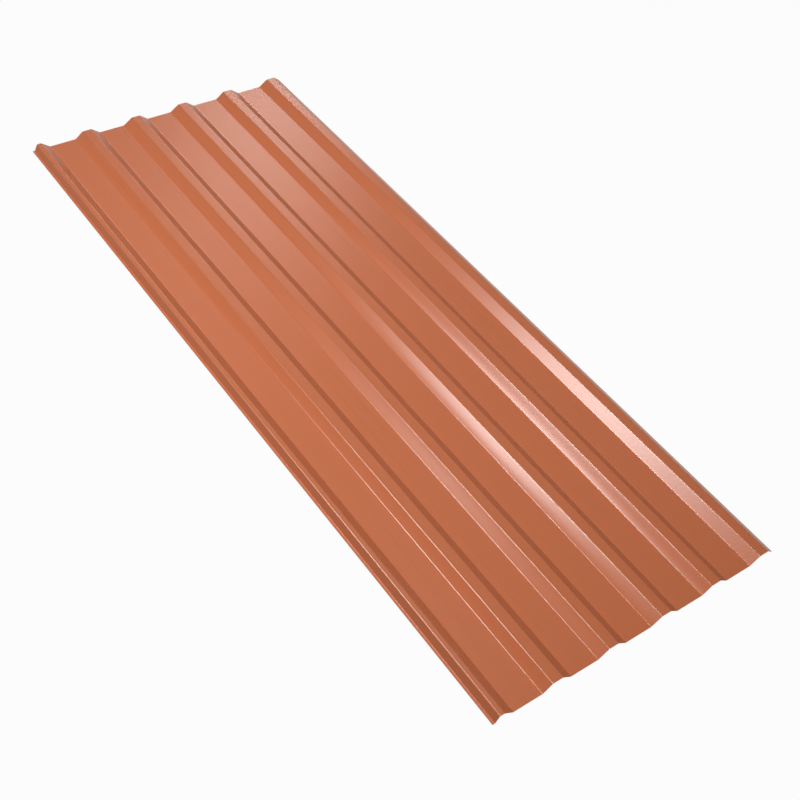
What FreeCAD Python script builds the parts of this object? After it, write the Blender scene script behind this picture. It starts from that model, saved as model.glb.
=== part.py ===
"""Box profile roofing sheet: one length of coated steel strip, roll formed into six
trapezoidal ribs with flat pans between them. Millimetres, +Z up, ribs up.

X runs across the sheet and Y along its ribs. The origin lies on the underside of the
middle pan, halfway along the sheet and in the middle of its cover width. The -X edge is
the underlap: half a crown, with a support leg under it that ends in a small foot. The +X
edge is the overlap: a whole crown, whose outer flank stops short of the next sheet's pan.
"""

import FreeCAD, Part
import math
import os

import Sketcher

NODE = "box_profile_sheet"

# Alias, value and meaning of each driving dimension.
DIMENSIONS = [
    ("sheet_length", 2750, "length of the cut sheet, along its ribs"),
    ("pitch", 200, "one rib centre to the next"),
    ("rib_count", 6, "ribs, the two side lap ribs among them"),
    ("depth", 25, "top of a pan to top of a crown"),
    ("crown_width", 34, "crown of a rib, between its sharp corners"),
    ("pan_width", 99, "pan between two ribs, between its sharp corners"),
    ("gauge", 0.7, "thickness of the coated strip"),
    ("bend_radius", 4, "inside radius of every fold"),
    ("leg_inset", 1, "underlap rib's centre to the top corner of its support leg"),
    ("leg_run", 11, "how far the support leg leans outwards"),
    ("foot_width", 8.5, "foot outside the support leg"),
    ("overlap_gap", 7, "height above the pans at which the overlap's flank is cut"),
]

# Distances from a rib's centre line, and the place of the outermost ribs.
HALF_PITCH = "Dimensions.pitch / 2"
HALF_CROWN = "Dimensions.crown_width / 2"
HALF_BASE = "(Dimensions.pitch - Dimensions.pan_width) / 2"
EDGE_RIB = "(Dimensions.rib_count - 1) / 2 * Dimensions.pitch"

# How a sketch names its own origin and horizontal axis, and the points of a line or arc.
ORIGIN = (-1, 1)
HORIZONTAL_AXIS = -1
START, END, CENTRE = 1, 2, 3


def dimensions_sheet(doc):
    """Writes the driving dimensions, one named cell each, and returns their values."""
    sheet = doc.addObject("Spreadsheet::Sheet", "Dimensions")
    for row, (alias, value, meaning) in enumerate(DIMENSIONS, start=1):
        sheet.set(f"A{row}", meaning)
        sheet.set(f"B{row}", str(value))
        sheet.setAlias(f"B{row}", alias)
    doc.recompute()
    return {alias: float(sheet.get(alias)) for alias, _, _ in DIMENSIONS}


def constrain(sketch, kind, *where):
    return sketch.addConstraint(Sketcher.Constraint(kind, *where))


def dimension(sketch, kind, *where, name, expression):
    """A named dimension that follows the driving dimensions."""
    index = constrain(sketch, kind, *where)
    sketch.renameConstraint(index, name)
    sketch.setExpression(f"Constraints.{name}", expression)


class StripSection:
    """A sketch of the strip's section over one stretch of the sheet's width.

    Its upper face is a chain of straight runs from left to right, and a fold rounds each
    sharp corner between two runs. The under face is the same chain, one gauge below.
    Corners are given from the rib's centre line and from the underside of the pans.
    """

    def __init__(self, body, name, rib_centre, size, corners):
        self.sketch = body.newObject("Sketcher::SketchObject", name)
        plane = next(p for p in body.Origin.OriginFeatures if p.Role == "XZ_Plane")
        self.sketch.AttachmentSupport = [(plane, "")]
        self.sketch.MapMode = "FlatFace"
        self.sketch.setExpression("AttachmentOffset.Base.x", rib_centre)
        self.corners = [FreeCAD.Vector(x, z, 0) for x, z in corners]
        self.draw(size["gauge"], size["bend_radius"])

    def draw(self, gauge, bend_radius):
        """Draws both faces and the cuts that close them, near their final places."""
        runs = [(b - a).normalize() for a, b in zip(self.corners, self.corners[1:])]
        normals = [FreeCAD.Vector(-run.y, run.x, 0) for run in runs]
        upper, under, folds = [self.corners[0]], [self.corners[0] - normals[0] * gauge], []
        for corner, before, after, normal in zip(self.corners[1:], runs, runs[1:], normals):
            upward = before.x * after.y > before.y * after.x
            upper_radius = bend_radius if upward else bend_radius + gauge
            under_radius = bend_radius + gauge if upward else bend_radius
            setback = upper_radius * math.tan(before.getAngle(after) / 2)
            ends = [corner - before * setback, corner + after * setback]
            centre = ends[0] + normal * (upper_radius if upward else -upper_radius)
            shrink = under_radius / upper_radius
            upper += ends
            under += [centre + (end - centre) * shrink for end in ends]
            folds.append((centre, upward))
        upper.append(self.corners[-1])
        under.append(self.corners[-1] - normals[-1] * gauge)

        self.upper_runs, upper_folds = self.draw_face(upper, folds)
        self.under_runs, under_folds = self.draw_face(under, folds)
        self.tie_folds(folds, upper_folds, under_folds)
        self.left_cut = self.draw_cut(0, START, upper[0], under[0])
        self.right_cut = self.draw_cut(-1, END, upper[-1], under[-1])

    def draw_face(self, points, folds):
        """One face: straight runs, each tangent to the fold that joins it to the next."""
        runs = [self.sketch.addGeometry(Part.LineSegment(points[0], points[1]), False)]
        arcs = []
        for number, (centre, upward) in enumerate(folds):
            left, right, far_end = points[2 * number + 1 : 2 * number + 4]
            arc = self.sketch.addGeometry(fold_arc(centre, left, right, upward), False)
            run = self.sketch.addGeometry(Part.LineSegment(right, far_end), False)
            left_end, right_end = (START, END) if upward else (END, START)
            constrain(self.sketch, "Tangent", runs[-1], END, arc, left_end)
            constrain(self.sketch, "Tangent", arc, right_end, run, START)
            runs.append(run)
            arcs.append(arc)
        return runs, arcs

    def draw_cut(self, run, end, upper_point, under_point):
        """The strip's square cut at one end of the section."""
        cut = self.sketch.addGeometry(Part.LineSegment(upper_point, under_point), False)
        constrain(self.sketch, "Coincident", cut, START, self.upper_runs[run], end)
        constrain(self.sketch, "Coincident", cut, END, self.under_runs[run], end)
        constrain(self.sketch, "Perpendicular", cut, self.upper_runs[run])
        constrain(self.sketch, "Parallel", self.upper_runs[run], self.under_runs[run])
        return cut

    def tie_folds(self, folds, upper_folds, under_folds):
        """Both arcs of a fold share a centre, and all folds share their two radii."""
        inside, outside = [], []
        for (_, upward), upper_fold, under_fold in zip(folds, upper_folds, under_folds):
            constrain(self.sketch, "Coincident", upper_fold, CENTRE, under_fold, CENTRE)
            inside.append(upper_fold if upward else under_fold)
            outside.append(under_fold if upward else upper_fold)
        for arcs, name, expression in (
            (inside, "inside_radius", "Dimensions.bend_radius"),
            (outside, "outside_radius", "Dimensions.bend_radius + Dimensions.gauge"),
        ):
            radius = self.sketch.Geometry[arcs[0]].Radius
            dimension(self.sketch, "Radius", arcs[0], radius, name=name, expression=expression)
            for arc in arcs[1:]:
                constrain(self.sketch, "Equal", arcs[0], arc)

    def level(self, *runs):
        """These runs of the upper face lie flat."""
        for run in runs:
            constrain(self.sketch, "Horizontal", self.upper_runs[run])

    def rest(self, *runs):
        """The under face of these flat runs lies on the level of the pans' underside."""
        for run in runs:
            constrain(self.sketch, "PointOnObject", self.under_runs[run], START, HORIZONTAL_AXIS)

    def corner(self, number, runs=None):
        """The sharp corner of the upper face where two runs would meet."""
        point = self.sketch.addGeometry(Part.Point(self.corners[number]), True)
        for run in runs or (number - 1, number):
            constrain(self.sketch, "PointOnObject", point, START, self.upper_runs[run])
        return point, START

    def across(self, point, name, expression):
        """Holds a point at a distance from the rib's centre line, on the side it is on."""
        place = self.sketch.getPoint(*point).x
        ends = (*ORIGIN, *point) if place > 0 else (*point, *ORIGIN)
        dimension(self.sketch, "DistanceX", *ends, abs(place), name=name, expression=expression)

    def above(self, lower, upper, name, expression):
        """Holds one point at a height above another."""
        height = self.sketch.getPoint(*upper).y - self.sketch.getPoint(*lower).y
        dimension(
            self.sketch, "DistanceY", *lower, *upper, height, name=name, expression=expression
        )


def fold_arc(centre, left, right, upward):
    """A fold's arc. Arcs run anticlockwise, so only an upward fold runs left to right."""
    start, end = (left, right) if upward else (right, left)
    angles = [math.atan2(point.y - centre.y, point.x - centre.x) for point in (start, end)]
    circle = Part.Circle(centre, FreeCAD.Vector(0, 0, 1), (left - centre).Length)
    return Part.ArcOfCircle(circle, angles[0], angles[0] + (angles[1] - angles[0]) % math.tau)


def full_rib_sketch(body, size):
    """A rib in the middle of the sheet, with half a pan on each side."""
    pan, crown = size["gauge"], size["gauge"] + size["depth"]
    half_base = (size["pitch"] - size["pan_width"]) / 2
    half_crown = size["crown_width"] / 2
    section = StripSection(
        body,
        "RibSection",
        "(3 - Dimensions.rib_count) / 2 * Dimensions.pitch",
        size,
        [
            (-size["pitch"] / 2, pan),
            (-half_base, pan),
            (-half_crown, crown),
            (half_crown, crown),
            (half_base, pan),
            (size["pitch"] / 2, pan),
        ],
    )
    section.level(0, 2, 4)
    section.rest(0, 4)
    left_foot, left_crown = section.corner(1), section.corner(2)
    right_crown, right_foot = section.corner(3), section.corner(4)
    section.above(left_foot, left_crown, "depth", "Dimensions.depth")
    section.across((section.left_cut, START), "left_half_pitch", HALF_PITCH)
    section.across(left_foot, "left_half_base", HALF_BASE)
    section.across(left_crown, "left_half_crown", HALF_CROWN)
    section.across(right_crown, "right_half_crown", HALF_CROWN)
    section.across(right_foot, "right_half_base", HALF_BASE)
    section.across((section.right_cut, START), "right_half_pitch", HALF_PITCH)
    return section.sketch


def underlap_sketch(body, size):
    """The first rib: foot, support leg and half a crown, then its flank and half a pan."""
    pan, crown = size["gauge"], size["gauge"] + size["depth"]
    leg_foot = size["leg_inset"] - size["leg_run"]
    section = StripSection(
        body,
        "UnderlapSection",
        f"-({EDGE_RIB})",
        size,
        [
            (leg_foot - size["foot_width"], pan),
            (leg_foot, pan),
            (size["leg_inset"], crown),
            (size["crown_width"] / 2, crown),
            ((size["pitch"] - size["pan_width"]) / 2, pan),
            (size["pitch"] / 2, pan),
        ],
    )
    section.level(0, 2, 4)
    section.rest(0, 4)
    leg_foot, leg_top = section.corner(1), section.corner(2)
    crown_end, flank_foot = section.corner(3), section.corner(4)
    section.above(leg_foot, leg_top, "depth", "Dimensions.depth")
    section.across(leg_top, "leg_inset", "Dimensions.leg_inset")
    section.across(leg_foot, "leg_foot", "Dimensions.leg_run - Dimensions.leg_inset")
    section.across(
        (section.left_cut, START),
        "foot_edge",
        "Dimensions.leg_run - Dimensions.leg_inset + Dimensions.foot_width",
    )
    section.across(crown_end, "half_crown", HALF_CROWN)
    section.across(flank_foot, "half_base", HALF_BASE)
    section.across((section.right_cut, START), "half_pitch", HALF_PITCH)
    return section.sketch


def overlap_sketch(body, size):
    """The last rib: half a pan, flank and crown, then an outer flank that is cut short."""
    pan, crown = size["gauge"], size["gauge"] + size["depth"]
    half_base = (size["pitch"] - size["pan_width"]) / 2
    half_crown = size["crown_width"] / 2
    cut_share = 1 - size["overlap_gap"] / size["depth"]
    section = StripSection(
        body,
        "OverlapSection",
        EDGE_RIB,
        size,
        [
            (-size["pitch"] / 2, pan),
            (-half_base, pan),
            (-half_crown, crown),
            (half_crown, crown),
            (half_crown + (half_base - half_crown) * cut_share, pan + size["overlap_gap"]),
        ],
    )
    section.level(0, 2)
    section.rest(0)
    left_foot, left_crown, right_crown = (section.corner(number) for number in (1, 2, 3))
    section.corners.append(FreeCAD.Vector(half_base, pan, 0))
    missing_foot = section.corner(-1, runs=(0, 3))
    section.above(left_foot, left_crown, "depth", "Dimensions.depth")
    section.above(missing_foot, (section.right_cut, START), "gap", "Dimensions.overlap_gap")
    section.across((section.left_cut, START), "half_pitch", HALF_PITCH)
    section.across(left_foot, "left_half_base", HALF_BASE)
    section.across(left_crown, "left_half_crown", HALF_CROWN)
    section.across(right_crown, "right_half_crown", HALF_CROWN)
    section.across(missing_foot, "right_half_base", HALF_BASE)
    return section.sketch


def pad_along_ribs(body, name, sketch):
    """The section, drawn out to the sheet's length on both sides of its middle."""
    pad = body.newObject("PartDesign::Pad", name)
    pad.Profile = sketch
    pad.SideType = "Symmetric"
    pad.setExpression("Length", "Dimensions.sheet_length")
    body.Document.recompute()
    return pad


def roofing_sheet(doc, size):
    """The whole sheet as one body: equal ribs side by side, then the two lap edges."""
    body = doc.addObject("PartDesign::Body", "Sheet")
    body.Label = NODE
    rib = pad_along_ribs(body, "Rib", full_rib_sketch(body, size))

    ribs = body.newObject("PartDesign::LinearPattern", "Ribs")
    ribs.Originals = [rib]
    ribs.Direction = (rib.Profile[0], ["H_Axis"])
    ribs.Mode = "Spacing"
    ribs.setExpression("Offset", "Dimensions.pitch")
    ribs.setExpression("Occurrences", "Dimensions.rib_count - 2")
    body.Tip = ribs
    doc.recompute()

    pad_along_ribs(body, "Underlap", underlap_sketch(body, size))
    pad_along_ribs(body, "Overlap", overlap_sketch(body, size))
    return body


def check(doc, body):
    """Stops the build if any object failed, or if the body isn't one closed solid."""
    failed = [o.Name for o in doc.Objects if {"Invalid", "Error"} & set(o.State)]
    if failed:
        raise RuntimeError(f"these objects failed: {failed}")
    loose = [o.Name for o in doc.Objects if o.isDerivedFrom("Sketcher::SketchObject") and o.solve()]
    if loose:
        raise RuntimeError(f"these sketches have no solution: {loose}")
    shape = body.Shape
    if shape.isNull() or not shape.isValid() or len(shape.Solids) != 1:
        raise RuntimeError("the sheet isn't one valid solid")


def main():
    doc = FreeCAD.newDocument("BoxProfileSheet")
    size = dimensions_sheet(doc)
    body = roofing_sheet(doc, size)
    doc.recompute()
    check(doc, body)
    os.makedirs("parts", exist_ok=True)
    body.Shape.exportStep(f"parts/{NODE}.step")


main()
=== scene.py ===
"""A box profile roofing sheet, ribs up, lying on a plain pale floor under soft studio light."""
import math

import bmesh
import bpy
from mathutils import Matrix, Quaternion, Vector


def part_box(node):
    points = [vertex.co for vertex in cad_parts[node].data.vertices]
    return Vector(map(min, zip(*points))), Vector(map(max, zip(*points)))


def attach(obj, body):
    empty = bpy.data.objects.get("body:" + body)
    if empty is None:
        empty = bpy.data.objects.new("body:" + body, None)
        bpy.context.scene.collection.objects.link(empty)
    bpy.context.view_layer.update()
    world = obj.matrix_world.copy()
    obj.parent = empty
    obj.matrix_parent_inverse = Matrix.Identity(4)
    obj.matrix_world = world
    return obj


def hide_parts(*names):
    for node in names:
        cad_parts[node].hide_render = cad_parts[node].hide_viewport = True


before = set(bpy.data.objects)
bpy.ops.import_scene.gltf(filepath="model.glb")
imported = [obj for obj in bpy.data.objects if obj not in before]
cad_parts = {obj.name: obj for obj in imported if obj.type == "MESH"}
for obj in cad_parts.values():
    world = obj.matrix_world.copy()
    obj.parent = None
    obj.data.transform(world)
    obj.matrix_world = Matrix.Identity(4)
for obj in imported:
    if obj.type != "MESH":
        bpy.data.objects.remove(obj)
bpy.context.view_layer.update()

# The sheet. One strip of galvanised steel, 0.7 mm thick, coil coated terracotta on its weather
# side and pale grey on its back. Rolls fold it cold, a little more at each stand, so every fold is
# a true arc, and the ends are sheared square. The last fold, at the support leg's foot, is tight.
PITCH = 0.200
RIBS = 6
CROWN = 0.034
RIB_BASE = 0.101
GAUGE = 0.0007
BEND_RADIUS = 0.004
LAP_FOLD_RADIUS = 0.0012

# The upper and lower corner of the support leg, from the centre of the first rib.
LEG_TOP = 0.001
LEG_FOOT = -0.010

# Worn rolls leave the left flanks faintly uneven. For each rib, counted from 0 at the left: how far
# the flank is drawn in at its foot and crown in metres, then how far it turns from flat in radians,
# evenly and lopsidedly.
LEFT_FLANKS = {
    1: (0.0022, 0.03, -0.015),
    2: (0.0, 0.014, 0.009),
    3: (-0.0004, -0.05, 0.008),
    4: (0.0011, 0.045, -0.02),
    5: (0.0, 0.0, 0.0),
}

low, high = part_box("box_profile_sheet")
pan_level = low.z + GAUGE
crown_level = high.z
flank_slope = (crown_level - pan_level) / ((RIB_BASE - CROWN) / 2)
rib_centres = [(number - (RIBS - 1) / 2) * PITCH for number in range(RIBS)]
first_rib, last_rib = rib_centres[0], rib_centres[-1]
overlap_edge = pan_level + (last_rib + RIB_BASE / 2 - high.x) * flank_slope


def rib_side(rib, side):
    """The foot and the crown corner of a rib, on its left (-1) or right (1), in that order."""
    tuck = LEFT_FLANKS[rib][0] if side < 0 else 0.0
    foot = (rib_centres[rib] + side * (RIB_BASE / 2 - tuck), pan_level)
    return [foot, (rib_centres[rib] + side * (CROWN / 2 + tuck), crown_level)]


# The weather side's sharp corners across the sheet, from the underlap's foot to the overlap's edge.
section = [
    (low.x, pan_level),
    (first_rib + LEG_FOOT, pan_level),
    (first_rib + LEG_TOP, crown_level),
    *reversed(rib_side(0, 1)),
]
for rib in range(1, RIBS - 1):
    section += [*rib_side(rib, -1), *reversed(rib_side(rib, 1))]
section += [*rib_side(RIBS - 1, -1), rib_side(RIBS - 1, 1)[1], (high.x, overlap_edge)]
leg_middle = first_rib + (LEG_FOOT + LEG_TOP) / 2

FOLD_SEGMENTS = 8
ROWS = 50
FLAT_COLUMNS = 8

strip = bmesh.new()
tip = bmesh.ops.create_vert(strip, co=(section[0][0], low.y, section[0][1]))["vert"][0]
for x, z in section[1:]:
    tip = bmesh.ops.extrude_vert_indiv(strip, verts=[tip])["verts"][0]
    tip.co = (x, low.y, z)
drawn = bmesh.ops.extrude_edge_only(strip, edges=strip.edges[:])["geom"]
far_end = [part for part in drawn if isinstance(part, bmesh.types.BMVert)]
bmesh.ops.translate(strip, verts=far_end, vec=(0, high.y - low.y, 0))
bmesh.ops.recalc_face_normals(strip, faces=strip.faces[:])
if strip.faces[:][0].normal.z < 0:
    bmesh.ops.reverse_faces(strip, faces=strip.faces[:])

folds = [edge for edge in strip.edges if len(edge.link_faces) == 2]
for fold in folds:
    radius = BEND_RADIUS + GAUGE if fold.is_convex else BEND_RADIUS
    if fold.verts[0].co.x < leg_middle:
        radius = LAP_FOLD_RADIUS
    setback = radius * math.tan(fold.calc_face_angle() / 2)
    bmesh.ops.bevel(
        strip, geom=[fold], offset=setback, offset_type="OFFSET", affect="EDGES",
        segments=FOLD_SEGMENTS, profile=0.5, material=-1,
    )


def runs_along(edge):
    """Whether an edge runs along the ribs."""
    return abs(edge.verts[0].co.y - edge.verts[1].co.y) > 0.5 * edge.calc_length()


long_edges = [edge for edge in strip.edges if runs_along(edge)]
bmesh.ops.subdivide_edges(strip, edges=long_edges, cuts=ROWS - 1, use_grid_fill=True)
flat_edges = [e for e in strip.edges if not runs_along(e) and e.calc_length() > BEND_RADIUS]
bmesh.ops.subdivide_edges(strip, edges=flat_edges, cuts=FLAT_COLUMNS - 1, use_grid_fill=True)

for rib, (_, turn, skew) in LEFT_FLANKS.items():
    (foot_x, foot_z), (corner_x, corner_z) = rib_side(rib, -1)
    half_run = math.hypot(corner_x - foot_x, corner_z - foot_z) / 2
    outward = Vector((foot_z - corner_z, 0, corner_x - foot_x)).normalized()
    for vert in strip.verts:
        up_flank = 2 * (vert.co.x - foot_x) / (corner_x - foot_x) - 1
        if abs(up_flank) < 1:
            even = turn * (up_flank * up_flank - 1) / 2
            lopsided = skew * (up_flank ** 3 - up_flank)
            rise = half_run * (even + lopsided)
            vert.co += outward * rise

for face in strip.faces:
    face.smooth = True
for edge in strip.edges:
    edge.smooth = not edge.is_boundary
sheet_mesh = bpy.data.meshes.new("box_profile_sheet_folded")
strip.to_mesh(sheet_mesh)
strip.free()
sheet = bpy.data.objects.new("folded_sheet", sheet_mesh)
bpy.context.scene.collection.objects.link(sheet)


def linear(hex_colour):
    """An sRGB hex colour as the linear colour that a node takes."""
    channels = [int(hex_colour[start : start + 2], 16) / 255 for start in (1, 3, 5)]
    return [c / 12.92 if c <= 0.04045 else ((c + 0.055) / 1.055) ** 2.4 for c in channels] + [1]


def add_node(tree, kind, values=None, links=None, **settings):
    """Adds a node. values and links fill its inputs by name or number, and settings are its own."""
    node = tree.nodes.new(kind)
    for name, value in settings.items():
        setattr(node, name, value)
    for name, value in (values or {}).items():
        node.inputs[name].default_value = value
    for name, socket in (links or {}).items():
        tree.links.new(socket, node.inputs[name])
    return node


def new_material(name):
    """A material with no nodes yet, and its node tree."""
    material = bpy.data.materials.new(name)
    material.use_nodes = True
    material.node_tree.nodes.clear()
    return material, material.node_tree


# The plastisol's leathergrain has cells about 1.5 mm across, about half a pixel of the render, so it
# is drawn at 5 mm, with the relief kept low enough for the gloss to stay as soft as it is.
GRAIN_CELL = 0.005
GRAIN_RELIEF = 0.00007
# Rolling leaves streaks a few millimetres apart and over a metre long. They are drawn at 14 mm.
STREAK_WIDTH, STREAK_LENGTH = 0.014, 1.6
STREAK_SCALE = (1 / STREAK_WIDTH, 1 / STREAK_LENGTH, 1 / STREAK_WIDTH)
# The rolls press the grain flat at the folds, and it shines a little more there.
BURNISH = 0.05
BURNISHED_HALF_WIDTH = 0.004
# The paint line's colour drifts by a shade in clouds of about 60 mm.
CLOUD = 0.0625


def plastisol():
    """Terracotta PVC plastisol, 0.2 mm thick, embossed with leathergrain while it was hot.

    The eye sees one even colour under a soft wide gloss, with faint streaks along the ribs.
    """
    material, tree = new_material("terracotta_plastisol")
    place = add_node(tree, "ShaderNodeTexCoord").outputs["Object"]
    grain = add_node(
        tree, "ShaderNodeTexVoronoi", {"Scale": 1 / GRAIN_CELL, "Smoothness": 0.4},
        {"Vector": place}, feature="SMOOTH_F1",
    )
    relief = add_node(
        tree, "ShaderNodeBump", {"Strength": 1.0, "Distance": GRAIN_RELIEF},
        {"Height": grain.outputs["Distance"]}, invert=True,
    )
    stretch = add_node(tree, "ShaderNodeMapping", {"Scale": STREAK_SCALE}, {"Vector": place})
    streaks = add_node(
        tree, "ShaderNodeTexNoise", {"Scale": 1.0, "Detail": 2.0}, {"Vector": stretch.outputs[0]}
    )
    across = add_node(tree, "ShaderNodeSeparateXYZ", links={0: place}).outputs["X"]
    from_first = add_node(tree, "ShaderNodeMath", {1: first_rib}, {0: across}, operation="SUBTRACT")
    from_rib = add_node(
        tree, "ShaderNodeMath", {1: PITCH / 2}, {0: from_first.outputs[0]}, operation="PINGPONG"
    )
    to_folds = []
    for fold_place in (CROWN / 2, RIB_BASE / 2):
        past = add_node(
            tree, "ShaderNodeMath", {1: fold_place}, {0: from_rib.outputs[0]}, operation="SUBTRACT"
        )
        apart = add_node(tree, "ShaderNodeMath", links={0: past.outputs[0]}, operation="ABSOLUTE")
        to_folds.append(apart.outputs[0])
    nearest = add_node(
        tree, "ShaderNodeMath", links={0: to_folds[0], 1: to_folds[1]}, operation="MINIMUM"
    )
    pressed = add_node(
        tree, "ShaderNodeMapRange",
        {"From Min": 0.0, "From Max": BURNISHED_HALF_WIDTH, "To Min": BURNISH, "To Max": 0.0},
        {"Value": nearest.outputs[0]}, interpolation_type="SMOOTHSTEP",
    )
    open_grain = add_node(
        tree, "ShaderNodeMapRange",
        {"From Min": 0.3, "From Max": 0.7, "To Min": 0.273, "To Max": 0.283},
        {"Value": streaks.outputs[0]},
    )
    gloss = add_node(
        tree, "ShaderNodeMath",
        links={0: open_grain.outputs[0], 1: pressed.outputs[0]}, operation="SUBTRACT",
    )
    cloud = add_node(
        tree, "ShaderNodeTexNoise", {"Scale": 1 / CLOUD, "Detail": 3.0}, {"Vector": place}
    )
    colour = add_node(
        tree, "ShaderNodeMix", {6: linear("#C36D45"), 7: linear("#C56F47")},
        {0: cloud.outputs[0]}, data_type="RGBA",
    )
    shader = add_node(
        tree, "ShaderNodeBsdfPrincipled", {"Specular IOR Level": 0.17, "IOR": 1.5},
        {"Base Color": colour.outputs[2], "Roughness": gloss.outputs[0], "Normal": relief.outputs[0]},
    )
    add_node(tree, "ShaderNodeOutputMaterial", links={"Surface": shader.outputs[0]})
    return material


# The roller that lays the back coat leaves ribs about 6 mm apart, 2.5 to each streak's width, and
# thin patches about 110 mm across.
RIBS_PER_STREAK = 2.5
THIN_PATCHES_PER_METRE = 9.0


def backing_coat():
    """Pale grey epoxy backing coat, a thin lacquer that is nearly matt.

    The coating roller leaves it faintly ribbed along the sheet and a little thin in places.
    """
    material, tree = new_material("grey_backing_coat")
    place = add_node(tree, "ShaderNodeTexCoord").outputs["Object"]
    stretch = add_node(tree, "ShaderNodeMapping", {"Scale": STREAK_SCALE}, {"Vector": place})
    ribbing = add_node(
        tree, "ShaderNodeTexNoise", {"Scale": RIBS_PER_STREAK, "Detail": 3.0},
        {"Vector": stretch.outputs[0]},
    )
    relief = add_node(
        tree, "ShaderNodeBump", {"Strength": 1.0, "Distance": GRAIN_RELIEF},
        {"Height": ribbing.outputs[0]},
    )
    thinness = add_node(
        tree, "ShaderNodeTexNoise", {"Scale": THIN_PATCHES_PER_METRE, "Detail": 5.0},
        {"Vector": place},
    )
    colour = add_node(
        tree, "ShaderNodeMix", {6: linear("#B2B5B1"), 7: linear("#C0C3BF")},
        {0: thinness.outputs[0]}, data_type="RGBA",
    )
    gloss = add_node(
        tree, "ShaderNodeMapRange", {"From Min": 0.3, "From Max": 0.7, "To Min": 0.46, "To Max": 0.56},
        {"Value": ribbing.outputs[0]},
    )
    shader = add_node(
        tree, "ShaderNodeBsdfPrincipled", {"IOR": 1.5},
        {"Base Color": colour.outputs[2], "Roughness": gloss.outputs[0], "Normal": relief.outputs[0]},
    )
    add_node(tree, "ShaderNodeOutputMaterial", links={"Surface": shader.outputs[0]})
    return material


# The blade drags the zinc over the cut in patches 4 to 5 mm long.
SMEARS_PER_METRE = 220.0


def sheared_edge():
    """The sheared edge: bare steel, with zinc that the blade smeared over it in patches.

    The eye sees a thin line of dull grey metal, brighter where the zinc lies.
    """
    material, tree = new_material("sheared_zinc_edge")
    place = add_node(tree, "ShaderNodeTexCoord").outputs["Object"]
    smear = add_node(
        tree, "ShaderNodeTexNoise", {"Scale": SMEARS_PER_METRE, "Detail": 4.0}, {"Vector": place}
    )
    colour = add_node(
        tree, "ShaderNodeMix", {6: linear("#77726D"), 7: linear("#A5A29F")},
        {0: smear.outputs[0]}, data_type="RGBA",
    )
    dullness = add_node(
        tree, "ShaderNodeMapRange", {"From Min": 0.3, "From Max": 0.7, "To Min": 0.55, "To Max": 0.35},
        {"Value": smear.outputs[0]},
    )
    drag = add_node(
        tree, "ShaderNodeBump", {"Strength": 1.0, "Distance": GRAIN_RELIEF},
        {"Height": smear.outputs[0]},
    )
    shader = add_node(
        tree, "ShaderNodeBsdfPrincipled", {"Metallic": 0.7},
        {"Base Color": colour.outputs[2], "Roughness": dullness.outputs[0], "Normal": drag.outputs[0]},
    )
    add_node(tree, "ShaderNodeOutputMaterial", links={"Surface": shader.outputs[0]})
    return material


for coat in (plastisol(), backing_coat(), sheared_edge()):
    sheet_mesh.materials.append(coat)
wall = sheet.modifiers.new("gauge", "SOLIDIFY")
wall.thickness = GAUGE
wall.offset = -1
wall.use_even_offset = True
wall.material_offset = 1
wall.material_offset_rim = 2
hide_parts("box_profile_sheet")
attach(sheet, "root")

# The floor. A plain white board, far wider than the sheet, that shows no edge. The camera and
# reflections see it nearly white, and the rest of the light sees a plain grey.
FLOOR_HALF = 30.0
WHITE_SHARE = 0.97

board = bmesh.new()
bmesh.ops.create_grid(board, x_segments=1, y_segments=1, size=FLOOR_HALF)
floor_mesh = bpy.data.meshes.new("floor")
board.to_mesh(floor_mesh)
board.free()
floor = bpy.data.objects.new("floor", floor_mesh)
bpy.context.scene.collection.objects.link(floor)


def seen_as_background(tree):
    """1 for rays from the camera, from a reflection or through glass, and 0 for the others."""
    path = add_node(tree, "ShaderNodeLightPath")
    seen = path.outputs["Is Camera Ray"]
    for kind in ("Is Glossy Ray", "Is Transmission Ray"):
        either = add_node(
            tree, "ShaderNodeMath", links={0: seen, 1: path.outputs[kind]}, operation="MAXIMUM"
        )
        seen = either.outputs[0]
    return seen


floor_material, tree = new_material("white_board")
share = add_node(
    tree, "ShaderNodeMath", {1: WHITE_SHARE}, {0: seen_as_background(tree)}, operation="MULTIPLY"
)
paint = add_node(tree, "ShaderNodeBsdfDiffuse", {"Color": linear("#7C7C7C")})
glow = add_node(tree, "ShaderNodeEmission", {"Strength": 1.0})
mixed = add_node(
    tree, "ShaderNodeMixShader",
    links={0: share.outputs[0], 1: paint.outputs[0], 2: glow.outputs[0]},
)
add_node(tree, "ShaderNodeOutputMaterial", links={"Surface": mixed.outputs[0]})
floor_mesh.materials.append(floor_material)

# The light. A large soft key high on the left gives the ribs their shape, a lamp of the same size
# below it the gloss on their left flanks, and a panel past the far end the sheen there.
LAMP_WIDTH, LAMP_HEIGHT = 1.03, 2.99
PANEL_WIDTH, PANEL_HEIGHT = 1.27, 2.3
SHEET_CENTRE = (0, 0, 0)


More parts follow.
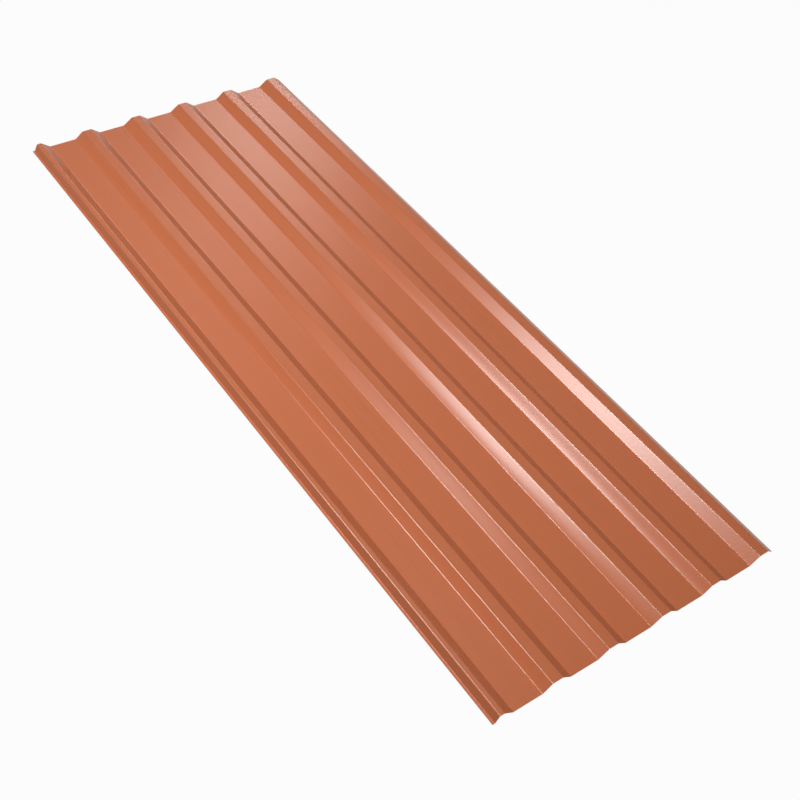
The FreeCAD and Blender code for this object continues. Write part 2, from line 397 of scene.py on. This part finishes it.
def lamp(name, place, aim, width, height, power):
    """A rectangular soft lamp that faces a point. Power is in watts."""
    light = bpy.data.lights.new(name, "AREA")
    light.shape = "RECTANGLE"
    light.size, light.size_y = width, height
    light.energy = power
    holder = bpy.data.objects.new(name, light)
    holder.location = place
    holder.rotation_euler = (Vector(aim) - Vector(place)).to_track_quat("-Z", "Y").to_euler()
    bpy.context.scene.collection.objects.link(holder)
    return holder


key = lamp("key", (-1.82, 0.45, 4.85), SHEET_CENTRE, LAMP_WIDTH, LAMP_HEIGHT, 250)
key.visible_glossy = False
gloss_lamp = lamp("gloss_lamp", (-1.0, 0.685, 3.42), SHEET_CENTRE, LAMP_WIDTH, LAMP_HEIGHT, 590)
gloss_lamp.visible_diffuse = False
panel = lamp("back_panel", (3.45, 5.95, 3.75), (0.3, 0.8, 0), PANEL_WIDTH, PANEL_HEIGHT, 84)
panel.visible_diffuse = False

# The backdrop. White where it is seen, and a faint even fill for the shadows.
FILL = 0.04

world = bpy.data.worlds.new("studio")
bpy.context.scene.world = world
world.use_nodes = True
tree = world.node_tree
tree.nodes.clear()
strength = add_node(
    tree, "ShaderNodeMapRange", {"To Min": FILL, "To Max": 1.0}, {"Value": seen_as_background(tree)}
)
backdrop = add_node(
    tree, "ShaderNodeBackground", {"Color": linear("#FFFFFF")}, {"Strength": strength.outputs[0]}
)
add_node(tree, "ShaderNodeOutputWorld", links={"Surface": backdrop.outputs[0]})

# The camera, off the sheet's near left corner, above it, and rolled a little as in the photograph.
AIM = Vector((-0.0613, -0.3235, pan_level))
AZIMUTH = math.radians(-42.123)
ELEVATION = math.radians(46.154)
ROLL = math.radians(9.152)
DISTANCE = 3.9941
FOCAL_LENGTH = 56.988

camera = bpy.data.objects.new("camera", bpy.data.cameras.new("camera"))
bpy.context.scene.collection.objects.link(camera)
bpy.context.scene.camera = camera
camera.data.lens = FOCAL_LENGTH
camera.data.sensor_width = 36
back = Vector((
    math.sin(AZIMUTH) * math.cos(ELEVATION),
    -math.cos(AZIMUTH) * math.cos(ELEVATION),
    math.sin(ELEVATION),
))
camera.location = AIM + back * DISTANCE
camera.rotation_mode = "QUATERNION"
camera.rotation_quaternion = (-back).to_track_quat("-Z", "Y") @ Quaternion((0, 0, 1), ROLL)

bpy.context.scene.view_settings.view_transform = "Standard"
